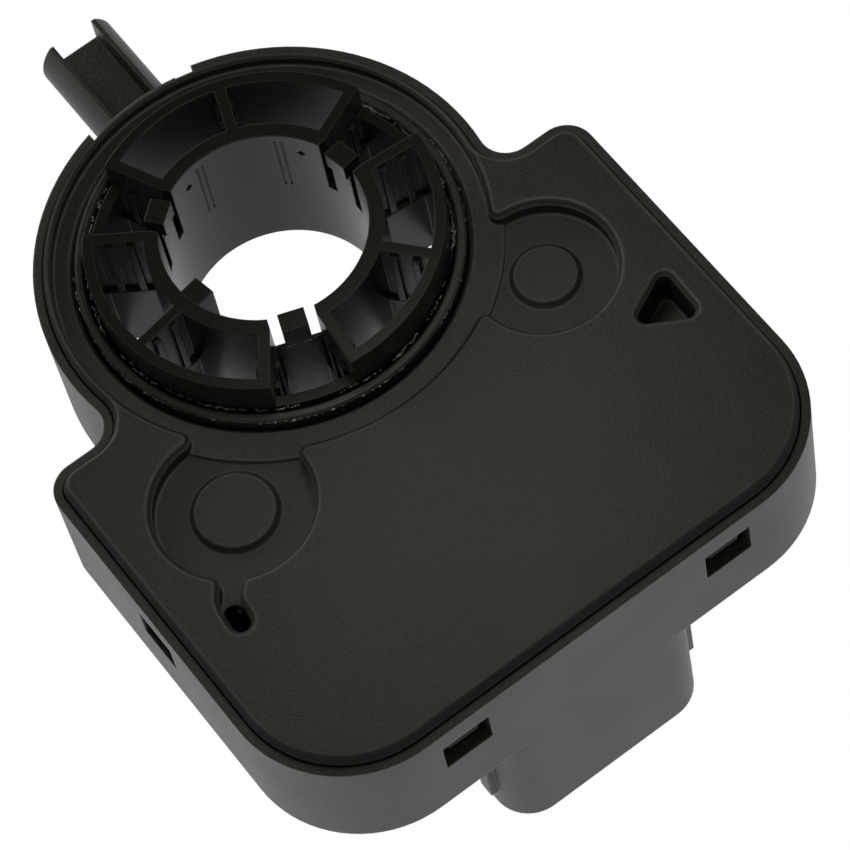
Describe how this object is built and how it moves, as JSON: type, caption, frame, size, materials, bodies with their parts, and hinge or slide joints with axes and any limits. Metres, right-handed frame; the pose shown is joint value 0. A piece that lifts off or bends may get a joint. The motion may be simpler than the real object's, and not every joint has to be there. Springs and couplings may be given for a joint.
{
  "type": "steering angle sensor",
  "caption": "Steering angle sensor with a keyed rotor bore, a flat housing with a locating arm, and a connector shroud.",
  "frame": {"origin": "on the steering axis at the underside of the housing", "axes": "+Z along the steering axis towards the cover, +Y towards the locating arm, -Y towards the connector wall"},
  "size_m": [0.075, 0.1039, 0.0412],
  "materials": {
    "housing_plastic": "fine grained moulding",
    "cover_plastic": "fine spark-eroded grain",
    "rotor_plastic": "smooth moulding",
    "gear_plastic": "smooth natural moulding",
    "magnet": "sintered",
    "board": "solder mask",
    "steel": "zinc plated",
    "can": "drawn can",
    "chip_ceramic": "fired",
    "tinned_metal": "tinned",
    "chip_plastic": "moulded"
  },
  "bodies": {
    "housing": {"housing": "housing_plastic", "cover": "cover_plastic", "circuit_board": "board", "board_screws": "steel", "angle_sensor_a": "chip_plastic", "angle_sensor_b": "chip_plastic", "microcontroller": "chip_plastic", "bus_transceiver": "chip_plastic", "voltage_regulator": "chip_plastic", "crystal": "can", "line_choke": "chip_plastic", "protection_diode": "chip_plastic", "buffer_capacitor": "can", "chip_capacitors": "chip_ceramic", "chip_resistors": "chip_ceramic", "contact_pin_1": "tinned_metal", "contact_pin_2": "tinned_metal", "contact_pin_3": "tinned_metal", "contact_pin_4": "tinned_metal", "contact_pin_5": "tinned_metal", "contact_pin_6": "tinned_metal", "contact_pin_7": "tinned_metal", "contact_pin_8": "tinned_metal"},
    "rotor": {"rotor_hub": "rotor_plastic", "drive_gear": "rotor_plastic"},
    "gear_a": {"measuring_gear_a": "gear_plastic", "magnet_a": "magnet"},
    "gear_b": {"measuring_gear_b": "gear_plastic", "magnet_b": "magnet"}
  },
  "joints": [
    {"name": "rotor_turn", "type": "hinge", "parent": "housing", "child": "rotor", "pos_m": [0, 0, 0], "axis": [0, 0, 1], "continuous": true},
    {"name": "gear_a_turn", "type": "hinge", "parent": "housing", "child": "gear_a", "pos_m": [0.02243, -0.02282, 0], "axis": [0, 0, 1], "continuous": true},
    {"name": "gear_b_turn", "type": "hinge", "parent": "housing", "child": "gear_b", "pos_m": [-0.02234, -0.02456, 0], "axis": [0, 0, 1], "continuous": true}
  ],
  "couplings": [
    {"joint": "gear_a_turn", "follows": "rotor_turn", "ratio": -3.4444},
    {"joint": "gear_b_turn", "follows": "rotor_turn", "ratio": -2.9524}
  ]
}
